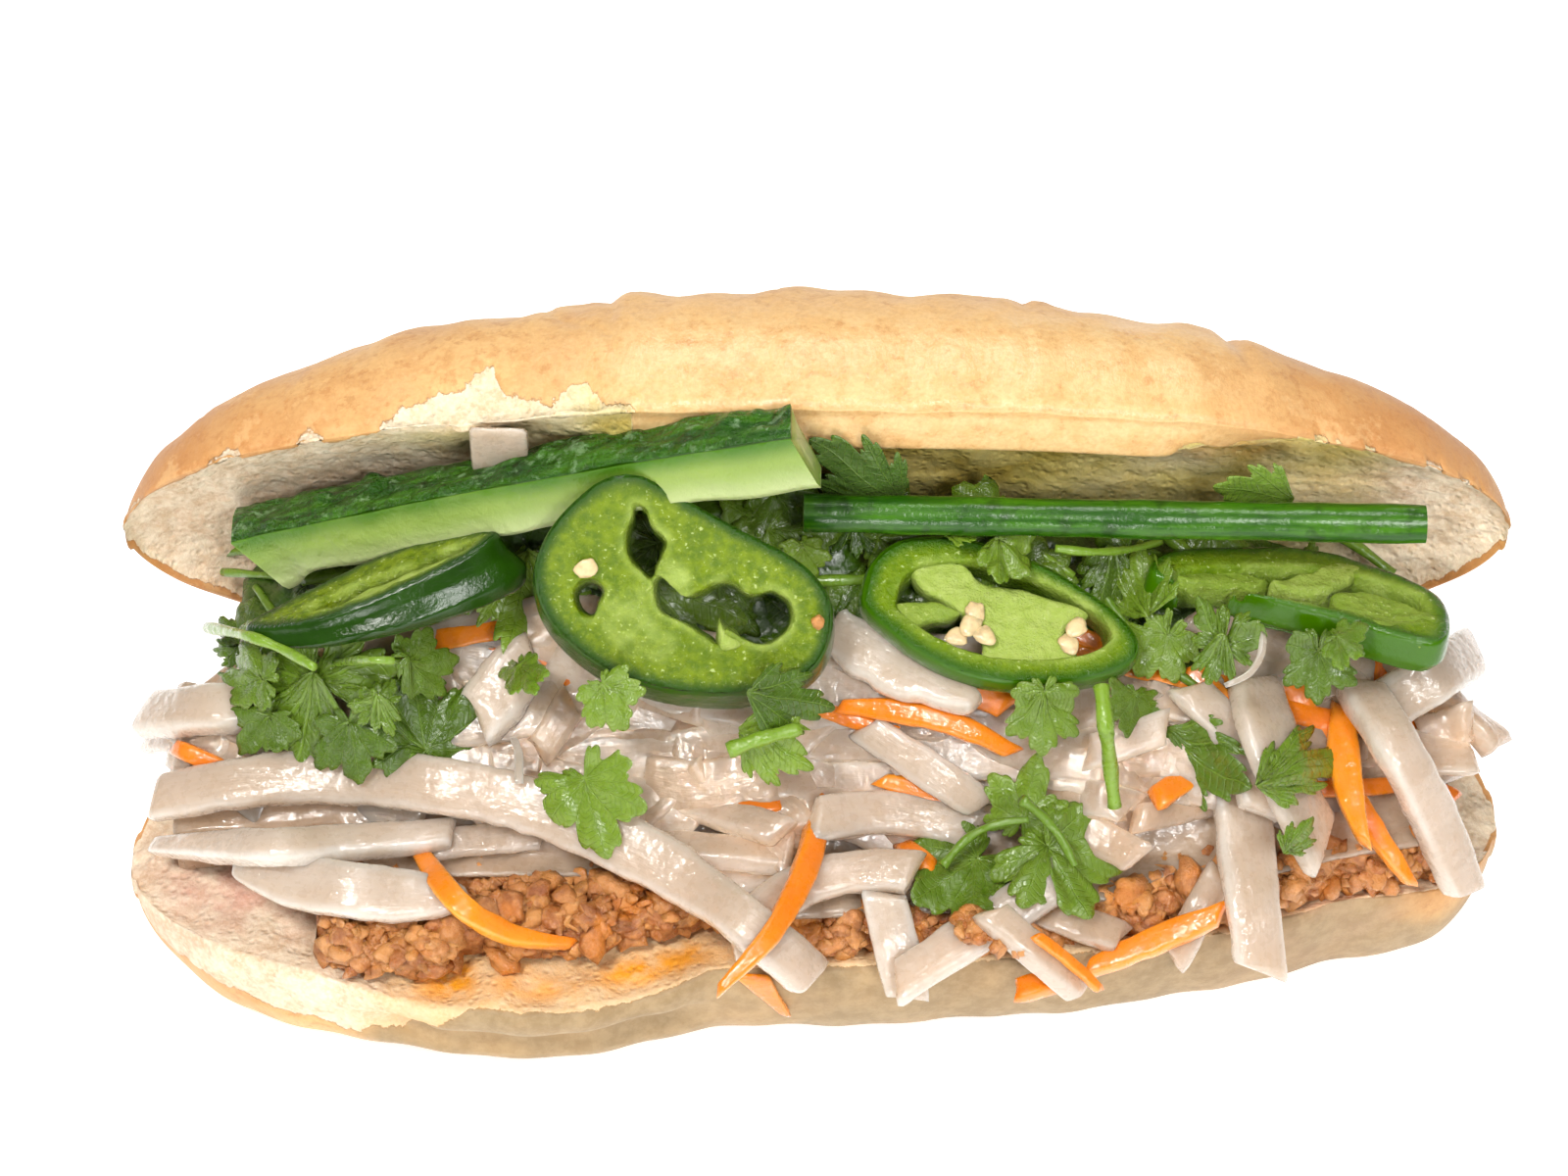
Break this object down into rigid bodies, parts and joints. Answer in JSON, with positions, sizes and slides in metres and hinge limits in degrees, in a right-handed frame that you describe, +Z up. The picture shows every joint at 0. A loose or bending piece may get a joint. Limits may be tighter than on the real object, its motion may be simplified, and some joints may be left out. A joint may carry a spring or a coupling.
{
  "type": "banh mi sandwich",
  "caption": "Short crusty roll slit along one side and opened wide, filled with shredded pork, pickled daikon and carrot, cucumber, jalapeno slices and cilantro.",
  "frame": {"origin": "middle of the flat underside of the roll, where it rests", "axes": "+X along the roll, +Y towards the uncut side that works as the hinge, away from the open mouth, +Z up"},
  "size_m": [0.2119, 0.1082, 0.0975],
  "materials": {
    "bread": "thin golden crust over pale open crumb",
    "pork": "moist shredded braised meat",
    "pickles": "wet translucent pickled radish and carrot",
    "daikon": "wet translucent pickled radish",
    "carrot": "wet pickled carrot",
    "cucumber": "glossy bumpy dark skin over pale wet flesh",
    "jalapeno": "glossy dark skin round wet bright flesh",
    "cilantro": "soft veined leaf"
  },
  "bodies": {
    "root": {"bread": "bread", "pork": "pork", "pickles": "pickles", "herbs": "cilantro", "cucumber_left": "cucumber", "cucumber_right": "cucumber", "jalapeno_1": "jalapeno", "jalapeno_2": "jalapeno", "jalapeno_3": "jalapeno", "jalapeno_4": "jalapeno", "daikon_1": "daikon", "daikon_2": "daikon", "daikon_3": "daikon", "daikon_4": "daikon", "daikon_5": "daikon", "daikon_6": "daikon", "daikon_7": "daikon", "daikon_8": "daikon", "daikon_9": "daikon", "daikon_10": "daikon", "daikon_11": "daikon", "daikon_12": "daikon", "daikon_13": "daikon", "daikon_14": "daikon", "daikon_15": "daikon", "daikon_16": "daikon", "daikon_17": "daikon", "carrot_1": "carrot", "carrot_2": "carrot", "carrot_3": "carrot", "carrot_4": "carrot", "carrot_5": "carrot", "carrot_6": "carrot", "carrot_7": "carrot", "carrot_8": "carrot", "cilantro_1": "cilantro", "cilantro_2": "cilantro", "cilantro_3": "cilantro", "cilantro_4": "cilantro", "cilantro_5": "cilantro", "cilantro_6": "cilantro", "cilantro_7": "cilantro", "cilantro_8": "cilantro", "cilantro_9": "cilantro", "cilantro_10": "cilantro", "cilantro_11": "cilantro", "cilantro_12": "cilantro", "cilantro_13": "cilantro", "cilantro_14": "cilantro", "cilantro_15": "cilantro", "cilantro_16": "cilantro", "cilantro_17": "cilantro", "cilantro_18": "cilantro", "cilantro_stem_1": "cilantro", "cilantro_stem_2": "cilantro", "cilantro_stem_3": "cilantro"}
  },
  "joints": []
}
